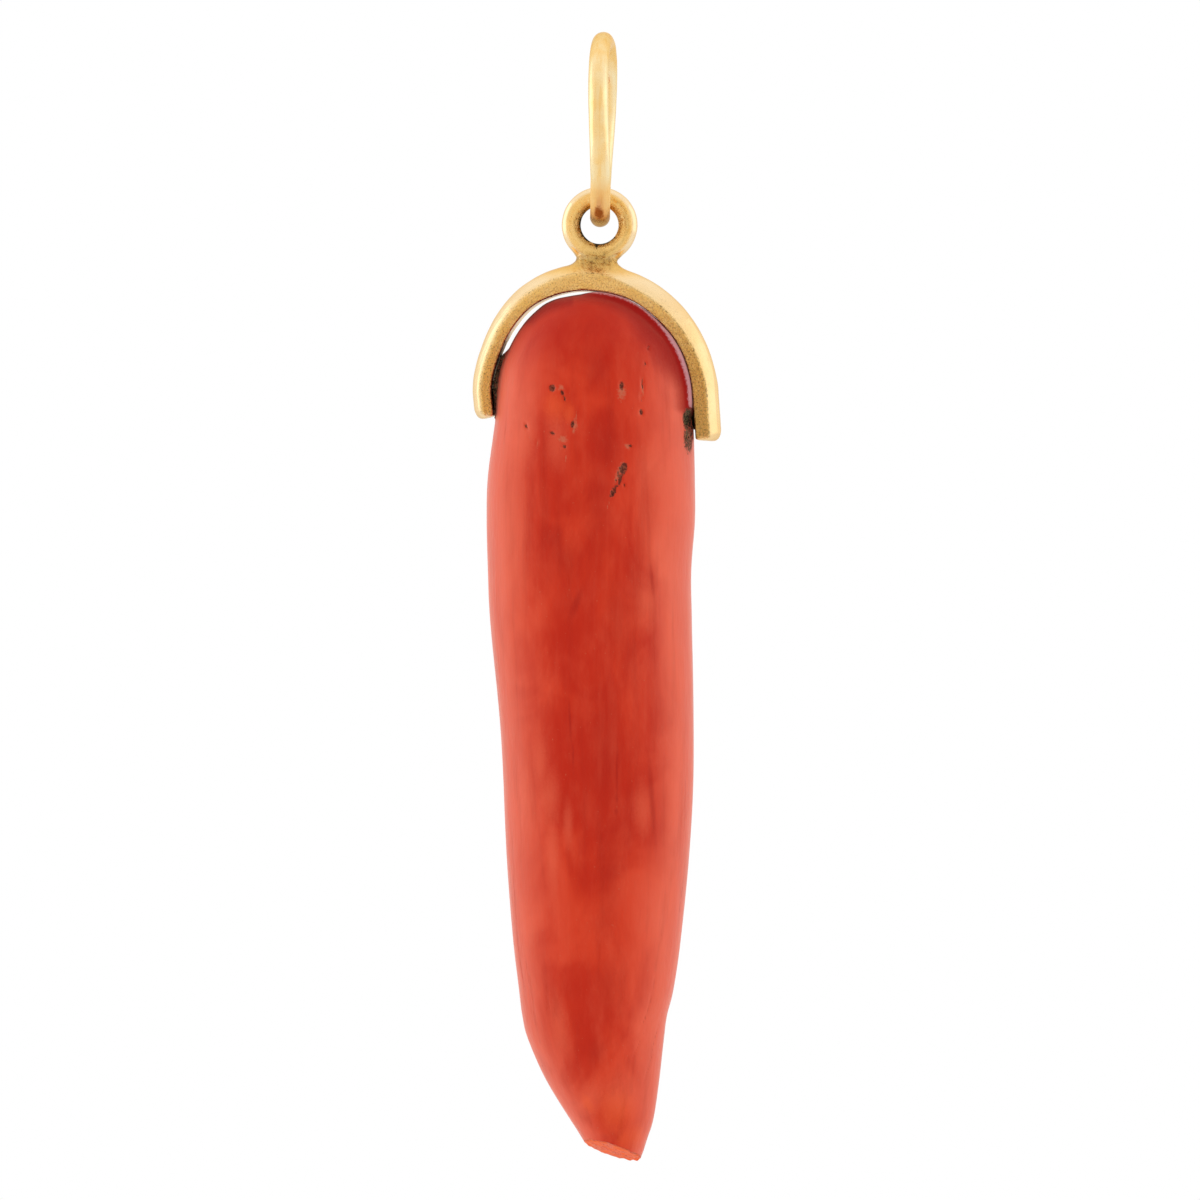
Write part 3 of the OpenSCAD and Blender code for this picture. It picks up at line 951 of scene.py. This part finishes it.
# Marks on the front of the horn. Each row is X, Z, WIDE, TALL, LEAN. X and Z are the mark's middle
# as the camera sees it, WIDE and TALL its half sizes, and LEAN the turn of its long side to the
# right of upright, in degrees.
WORM_HOLES = [
    (-2.39, -16.80, 0.19, 0.20, 0),
    (-1.88, -17.05, 0.09, 0.17, -15),
    (-1.77, -17.35, 0.07, 0.10, 0),
    (1.08, -16.70, 0.12, 0.24, 0),
    (2.43, -14.80, 0.05, 0.16, 0),
    (2.25, -15.60, 0.05, 0.14, 10),
    (2.10, -16.90, 0.04, 0.70, 2),
    (2.06, -18.02, 0.09, 0.20, 0),
    (1.52, -19.70, 0.10, 0.09, 0),
    (1.15, -20.86, 0.14, 0.30, 25),
    (1.00, -21.38, 0.10, 0.26, 15),
    (1.22, -21.66, 0.07, 0.08, 0),
    (0.64, -22.05, 0.10, 0.25, 20),
    (-3.70, -18.70, 0.06, 0.20, -20),
    (-2.40, -19.05, 0.20, 0.08, 10),
    (-1.38, -18.62, 0.10, 0.22, 10),
    (-1.77, -19.72, 0.10, 0.10, 0),
]
HOLE_OUTLINES = [
    (1.12, -20.90, 0.23, 0.44, 25),
    (0.90, -21.45, 0.16, 0.40, 18),
    (0.66, -22.00, 0.16, 0.36, 25),
]
CHALKY_RIMS = [
    (-1.95, -16.78, 0.20, 0.20, 0),
    (-1.86, -19.35, 0.30, 0.22, 0),
    (-1.25, -18.70, 0.16, 0.50, 8),
    (-1.16, -18.25, 0.04, 0.80, 0),
    (-1.72, -20.35, 0.05, 0.40, 14),
    (-3.52, -19.40, 0.03, 0.35, 0),
    (-3.13, -19.50, 0.03, 0.38, 0),
    (0.86, -21.25, 0.18, 0.50, 22),
    (1.02, -20.90, 0.26, 0.50, 25),
    (0.42, -22.65, 0.04, 0.45, 18),
    (1.36, -19.70, 0.18, 0.22, 0),
    (2.14, -16.80, 0.10, 0.75, 2),
    (1.10, -17.00, 0.30, 0.55, 0),
]
# Darker patches: partly the coral's own mottle, partly painted shade down the middle of the front.
DEEP_PATCHES = [
    (-1.75, -25.20, 1.30, 1.70, 0),
    (-2.30, -24.30, 1.00, 1.10, 0),
    (-0.10, -22.80, 1.30, 4.20, 4),
    (0.30, -19.60, 1.10, 2.60, 0),
    (0.90, -28.50, 1.00, 3.60, -6),
    (0.30, -35.00, 1.30, 5.20, 0),
    (0.50, -41.00, 1.10, 5.60, 4),
    (0.50, -46.60, 1.00, 2.40, 0),
    (-0.20, -50.00, 0.70, 1.10, 0),
    (-0.30, -15.60, 1.00, 2.00, 0),
]
# Paler patches: partly the coral's own mottle, partly painted sheen along the sides of the front.
PALE_PATCHES = [
    (3.10, -25.00, 1.10, 4.50, -12),
    (2.60, -21.00, 1.20, 2.60, 0),
    (-4.40, -24.00, 1.10, 6.50, 0),
    (-3.00, -35.50, 0.70, 2.20, 0),
    (-2.40, -40.20, 0.50, 3.00, 0),
    (-1.60, -38.60, 0.40, 1.80, 0),
    (-0.40, -52.30, 1.10, 1.60, 30),
    (-3.80, -19.00, 0.90, 3.00, 0),
    (-2.00, -48.80, 0.70, 2.60, -11),
    (-2.50, -37.20, 0.80, 2.20, 0),
    (2.10, -37.80, 0.80, 2.00, 0),
    (2.40, -27.40, 0.90, 2.00, 0),
    (-2.20, -19.40, 0.90, 2.40, 0),
    (-3.60, -37.50, 0.60, 3.00, 0),
    (0.90, -52.20, 1.40, 1.60, 20),
]
DARK_STREAKS = [
    (-1.50, -33.40, 0.10, 1.60, -3),
    (-1.35, -35.20, 0.09, 0.90, 0),
    (0.85, -36.00, 0.09, 2.00, 0),
    (0.80, -38.00, 0.16, 0.26, 0),
    (0.84, -37.30, 0.12, 0.40, 0),
    (2.60, -26.40, 0.14, 1.40, -6),
    (-1.20, -27.60, 0.30, 1.20, 20),
    (2.60, -37.40, 0.22, 3.20, -4),
]
FRESH_PATCHES = [
    (-2.20, -17.70, 0.95, 1.10, 0),
    (-1.60, -18.00, 0.50, 0.80, 0),
    (1.30, -54.30, 0.70, 1.10, 10),
    (0.80, -53.00, 1.40, 1.60, 0),
    (-0.90, -54.60, 0.30, 0.60, 40),
    (1.75, -54.20, 0.55, 1.00, 12),
    (-0.60, -52.60, 0.35, 0.80, -30),
]
GROWTH_LINES = [
    (2.62, -46.90, 0.035, 1.50, 12),
    (2.28, -48.20, 0.035, 1.80, 20),
    (2.75, -49.30, 0.035, 1.40, 14),
    (1.95, -49.60, 0.035, 1.50, 24),
    (2.45, -50.70, 0.035, 1.30, 18),
]


def as_seen(points):
    """How far right and up the photo shows each point, in millimetres on the plane through
    the origin. The angle is fixed, whatever the view."""
    seen_x = points[:, 0] * math.cos(CAMERA_AZIMUTH) + points[:, 1] * math.sin(CAMERA_AZIMUTH)
    nearer = CAMERA_DISTANCE / (CAMERA_DISTANCE + points[:, 1])
    return seen_x * nearer, CAMERA_AIM_Z + (points[:, 2] - CAMERA_AIM_Z) * nearer


def nearness(points, marks):
    """1 at the middle of a mark, 0 at its edge and less beyond it; the back of the horn has none."""
    best = np.full(len(points), -1.0)
    seen_x, seen_z = as_seen(points)
    for x, z, wide, tall, lean in marks:
        turn = math.radians(lean)
        across, up = seen_x - x, seen_z - z
        aside = across * math.cos(turn) - up * math.sin(turn)
        along = across * math.sin(turn) + up * math.cos(turn)
        best = np.maximum(best, 1.0 - np.hypot(aside / wide, along / tall))
    return np.where(points[:, 1] < 0, best, -1.0)


# The chipped mouth of the pin's bore, on the right and towards the front, and the stain below it
CHIP_MIDDLE = np.array([4.50, -1.2, -18.40])
CHIP_SIZE = np.array([0.42, 0.9, 0.62])
STAIN_MIDDLE = np.array([4.50, -1.3, -19.30])
STAIN_SIZE = np.array([0.42, 0.9, 0.90])
CHIP_DEPTH = 0.24
BORE_LENGTH = 14.0
PACK_GAP = 0.02
# How far the painted highlight along the horn's fitted edge reaches from the band, in millimetres.
SHINE_REACH = 0.40
# How far the band's painted shade reaches on the horn in front of it, in millimetres, by the turn right
# of the crown
SHADE_TURNS = [-16, 5, 30, 45, 68, 85, 96]
SHADE_REACH = [0.70, 0.90, 1.3, 1.9, 1.9, 1.3, 0.9]


def room_to_band(points):
    """Distance from each point of the horn out to the band's inner face, and the turn there."""
    away, turn = arch_place(points)
    return band_row(turn)[0] - away, turn


def packed(points, room, turn, reach):
    """How much dirt is packed between the horn and the left leg, from 0 to 1; reach is how far from
    the middle of the leg it goes."""
    level = rise(-61, -70, turn) * rise(-18.5, -18.25, points[:, 2])
    return level * rise(0.65, 0.5, room) * rise(reach, reach - 0.3, np.abs(points[:, 1]))


def fitted(points, room, turn):
    """How closely the horn is fitted to the band on its right, from 0 to 1."""
    level = rise(-7, 5, turn) * rise(-18.6, -17.4, points[:, 2])
    return level * rise(0.5, 0.2, room) * rise(1.7, 1.0, np.abs(points[:, 1]))


def horn_relief(points):
    """How far each point of the horn's skin stands out of its smooth form."""
    room, turn = room_to_band(points)
    free = np.maximum(room - PACK_GAP, 0.0)
    relief = 0.05 * bumps(points, (3.2, 3.2, 5.5))
    relief += 0.012 * bumps(points, (0.9, 0.9, 7.0), 4.0)
    ragged = 0.3 * bumps(points, 0.2, 6.0)
    lumps = 0.65 + 0.5 * bumps(points, 0.22, 12.0)
    relief -= 0.12 * rise(0.0, 0.9, nearness(points, WORM_HOLES) + ragged)
    relief -= 0.03 * rise(0.0, 0.9, nearness(points, CHALKY_RIMS) + ragged)
    relief -= 0.012 * rise(0.0, 0.6, nearness(points, GROWTH_LINES))
    chip = rise(0.0, 0.8, round_nearness(points, CHIP_MIDDLE, CHIP_SIZE) + ragged)
    relief -= CHIP_DEPTH * chip * (0.7 + 0.6 * lumps)
    by_arch = (points[:, 2] > RIGHT_END_Z) & (np.abs(points[:, 1]) < BAND_HALF_W + 0.2)
    relief = np.where(by_arch, np.minimum(relief, free), relief)
    relief = blend(relief, free, fitted(points, room, turn))
    return relief + packed(points, room, turn, 0.75) * free * np.clip(0.45 + lumps, 0.85, 1.0)


def bore_cutter():
    """A rod that cuts the pin's bore out of the horn."""
    cutter = bmesh.new()
    radius = (PIN_R + PIN_GAP) * MM
    bmesh.ops.create_cone(
        cutter, cap_ends=True, segments=48, radius1=radius, radius2=radius, depth=BORE_LENGTH * MM)
    turn = Vector((0, 0, 1)).rotation_difference(Vector(PIN_WAY)).to_matrix()
    bmesh.ops.rotate(cutter, verts=cutter.verts, matrix=turn)
    bmesh.ops.translate(cutter, verts=cutter.verts, vec=Vector(PIN_MIDDLE * MM))
    rod = new_piece("bore_cutter", [], [])
    cutter.to_mesh(rod.data)
    cutter.free()
    return rod


def crumb_tree(material):
    """The horn with crumbs of dirt scattered over it by its mask named soil."""
    tree = Tree("packed_crumbs", takes_mesh=True)
    dense = tree.input("Crumbs for each square metre", 4.0e7)
    small = tree.input("Smallest radius", 0.025 * MM)
    large = tree.input("Largest radius", 0.07 * MM)
    seed = tree.input("Seed", 4, "NodeSocketInt")
    bare = tree.entry.outputs["Geometry"]
    soil = tree.add("GeometryNodeInputNamedAttribute", {"Name": "soil"}, data_type="FLOAT")
    share = tree.add("ShaderNodeMapRange", {0: soil, 1: 0.3, 2: 0.8})
    scatter = {"Mesh": bare, "Seed": seed, "Density": tree.math("MULTIPLY", dense, share)}
    spots = tree.add("GeometryNodeDistributePointsOnFaces", scatter, distribute_method="RANDOM")
    lump = tree.add("GeometryNodeMeshIcoSphere", {"Radius": 1.0, "Subdivisions": 2})
    size = tree.add("FunctionNodeRandomValue", {2: small, 3: large, "Seed": seed}, output=1)
    turn = tree.add(
        "FunctionNodeRandomValue", {1: (6.28, 6.28, 6.28), "Seed": seed}, data_type="FLOAT_VECTOR")
    stretch = tree.add("ShaderNodeVectorMath", {0: (1.0, 0.75, 1.3), "Scale": size}, operation="SCALE")
    placed = {"Points": spots, "Instance": lump, "Rotation": turn, "Scale": stretch}
    crumbs = tree.add("GeometryNodeInstanceOnPoints", placed)
    crumbs = tree.add("GeometryNodeRealizeInstances", {"Geometry": crumbs})
    stored = {"Geometry": crumbs, "Name": "soil", "Value": 0.6}
    crumbs = tree.add("GeometryNodeStoreNamedAttribute", stored, data_type="FLOAT", domain="POINT")
    both = tree.add("GeometryNodeJoinGeometry", {0: crumbs})
    tree.tree.links.new(bare, both.node.inputs[0])
    tree.finish(both, material)
    return tree


def shade_and_shine(points, room, turn):
    """Masks of the painted shade beside the band and of the painted highlight along the horn's fitted
    edge.
    """
    in_front = (points[:, 1] < 0.5) * rise(-19.2, -17.8, points[:, 2])
    right = rise(-22, -10, turn) * in_front
    left = rise(-60, -38, turn) * rise(0, -12, turn) * in_front
    reach = np.interp(turn, SHADE_TURNS, SHADE_REACH)
    by_right = 1.0 - room / reach - 2.0 * (1.0 - right)
    by_left = np.minimum(1.3 - 1.3 * room, 0.8) - 2.0 * (1.0 - left)
    shine = right * blend(0.72, 1.0, rise(30, 62, turn)) * rise(-18.0, -17.7, points[:, 2])
    return np.maximum(by_right, by_left), shine - room / SHINE_REACH


def as_mark(share):
    """A share from 0 to 1 on the scale of nearness, where a mark's edge is at 0."""
    return 2.0 * share - 1.0


def mark_horn(horn):
    points = points_of(horn)
    chip = round_nearness(points, CHIP_MIDDLE, CHIP_SIZE * 1.1)
    stain = np.minimum(0.9 * round_nearness(points, STAIN_MIDDLE, STAIN_SIZE), 0.36)
    broken = rise(0.08, 0.0, points[:, 2] - break_height(points))
    room, turn = room_to_band(points)
    shade, shine = shade_and_shine(points, np.maximum(room, 0.0), turn)
    soil = np.minimum(as_mark(packed(points, room, turn, 0.9)), 0.4)
    outlines = 0.6 - np.abs(nearness(points, HOLE_OUTLINES) - 0.25) * 3.0
    set_masks(
        horn,
        pit=np.maximum(nearness(points, WORM_HOLES), outlines),
        chalk=nearness(points, CHALKY_RIMS),
        # deep and pale: patches partly of the coral's own colour, partly painted shade and painted
        # sheen.
        deep=nearness(points, DEEP_PATCHES),
        pale=nearness(points, PALE_PATCHES),
        streak=nearness(points, DARK_STREAKS + GROWTH_LINES),
        fresh=np.maximum(nearness(points, FRESH_PATCHES), as_mark(broken)),
        broken=broken,
        # flank is the mask of the painted sheen on the horn's sides.
        flank=turned_aside(horn),
        # rim_shade and rim_shine: the painted shade and the painted highlight by the band.
        rim_shade=shade,
        rim_shine=shine,
        # below_head is 0.15 on the head and 1 below it: the head gets the painted shade and little
        # painted sheen.
        below_head=blend(0.15, 1.0, rise(-12.8, -17.0, points[:, 2])),
        soil=np.maximum(np.maximum(chip, stain), soil),
    )


def make_horn():
    wall, cap, middle = horn_grid()
    down = np.gradient(wall, axis=0)
    round_it = np.roll(wall, -1, axis=1) - np.roll(wall, 1, axis=1)
    outward = np.cross(down, round_it)
    outward /= np.linalg.norm(outward, axis=2)[..., None]
    fade = rise(0.0, 0.5, wall[..., 2] - break_height(wall))
    relief = horn_relief(wall.reshape(-1, 3)).reshape(wall.shape[:2]) * fade
    wall = wall + outward * relief[..., None]
    pole = np.array([[HORN_ROWS[0][LEFT], 0.0, HORN_ROWS[0][AT]]])
    points = np.vstack([pole, wall.reshape(-1, 3), cap.reshape(-1, 3), middle[None]])
    rings = len(wall) + len(cap)
    last = len(points) - 1
    first, ends = 1 + np.arange(HORN_SIDES), 1 + (rings - 1) * HORN_SIDES + np.arange(HORN_SIDES)
    faces = ring_faces(rings, HORN_SIDES)
    faces += [[0, int(a), int(b)] for a, b in zip(first, np.roll(first, -1))]
    faces += [[last, int(b), int(a)] for a, b in zip(ends, np.roll(ends, -1))]
    coral = paint_coral()
    horn = new_piece("coral_branch", points, faces, coral)

    cutter = bore_cutter()
    cut = horn.modifiers.new("pin_bore", "BOOLEAN")
    cut.operation = "DIFFERENCE"
    cut.solver = "EXACT"
    cut.object = cutter
    plain_mesh(horn)
    bpy.data.objects.remove(cutter)
    mark_horn(horn)
    return crumb_tree(coral).grow(horn)


ring = make_ring()
mount = make_mount()
horn = make_horn()
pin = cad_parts["cross_pin"]
pin.data.materials.clear()
pin.data.materials.append(paint_pin())

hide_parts("bail_ring")
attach(ring, "bail")
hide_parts("stirrup_mount")
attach(mount, "pendant")
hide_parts("coral_horn")
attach(horn, "pendant")


# Studio: the photograph's camera, two large soft lights, a white surround and a pale floor

LENS = 300
LIGHTS = [
    # NAME, AZIMUTH, ELEVATION, DISTANCE, WIDTH, HEIGHT, RADIANCE: degrees and millimetres
    ("left_soft_box", -95, 8, 620, 620, 700, 0.46),
    ("right_soft_box", 95, 8, 620, 620, 700, 0.25),
]
FLOOR_R = 500
FLOOR_Z = -90.0
FLOOR_SIDES = 128


def set_up(thing, azimuth, elevation, distance):
    """Puts a camera or a light that far from the object and turns it to it. Azimuth 0 is the
    front and 90 the right."""
    flat = math.cos(elevation)
    away = Vector((math.sin(azimuth) * flat, -math.cos(azimuth) * flat, math.sin(elevation)))
    thing.location = (Vector((0, 0, CAMERA_AIM_Z)) + away * distance) * MM
    thing.rotation_mode = "QUATERNION"
    thing.rotation_quaternion = (-away).to_track_quat("-Z", "Y")
    scene.collection.objects.link(thing)


def make_camera():
    data = bpy.data.cameras.new("camera")
    data.lens = LENS
    data.sensor_width = 36
    data.clip_start = 0.01
    data.clip_end = 10
    scene.camera = bpy.data.objects.new("camera", data)
    set_up(scene.camera, CAMERA_AZIMUTH, 0, CAMERA_DISTANCE)


def make_light(name, azimuth, elevation, distance, width, height, radiance):
    """A soft box that faces the object and that the camera doesn't see."""
    data = bpy.data.lights.new(name, "AREA")
    data.shape = "RECTANGLE"
    data.size = width * MM
    data.size_y = height * MM
    data.energy = radiance * math.pi * data.size * data.size_y
    light = bpy.data.objects.new(name, data)
    light.visible_camera = False
    set_up(light, math.radians(azimuth), math.radians(elevation), distance)


def make_surround():
    """White to the camera. As light it is bright behind the object and dimmer in front of it."""
    scene.world = bpy.data.worlds.new("surround")
    scene.world.use_nodes = True
    tree = scene.world.node_tree
    tree.nodes.clear()
    towards = add_node(tree, "ShaderNodeTexCoord").outputs["Generated"]
    depth = add_node(tree, "ShaderNodeSeparateXYZ", {0: towards}).outputs["Y"]
    sockets = {0: depth, 1: -0.9, 2: 0.3, 3: 0.87, 4: 1.0}
    light = add_node(tree, "ShaderNodeMapRange", sockets, interpolation_type="SMOOTHSTEP").outputs[0]
    lit = add_node(tree, "ShaderNodeBackground", {"Strength": light, "Color": (1, 0.99, 0.975, 1)})
    seen = add_node(tree, "ShaderNodeBackground", {"Strength": 1.0, "Color": (1, 1, 1, 1)})
    to_camera = add_node(tree, "ShaderNodeLightPath").outputs["Is Camera Ray"]
    both = add_node(tree, "ShaderNodeMixShader", {0: to_camera, 1: lit.outputs[0], 2: seen.outputs[0]})
    add_node(tree, "ShaderNodeOutputWorld", {0: both.outputs[0]})


def make_floor():
    """A plain pale round floor below the hanging charm."""
    paint = Paint("pale_floor", Roughness=0.7, Base_Color=(0.9, 0.9, 0.9, 1))
    turns = np.linspace(0.0, 2 * math.pi, FLOOR_SIDES, endpoint=False)
    height = np.full(FLOOR_SIDES, FLOOR_Z)
    rim = np.stack([FLOOR_R * np.cos(turns), FLOOR_R * np.sin(turns), height], axis=1)
    floor = new_piece("floor", rim, [list(range(FLOOR_SIDES))], paint.material)


make_camera()
for light in LIGHTS:
    make_light(*light)
make_surround()
make_floor()
scene.view_settings.view_transform = "Standard"
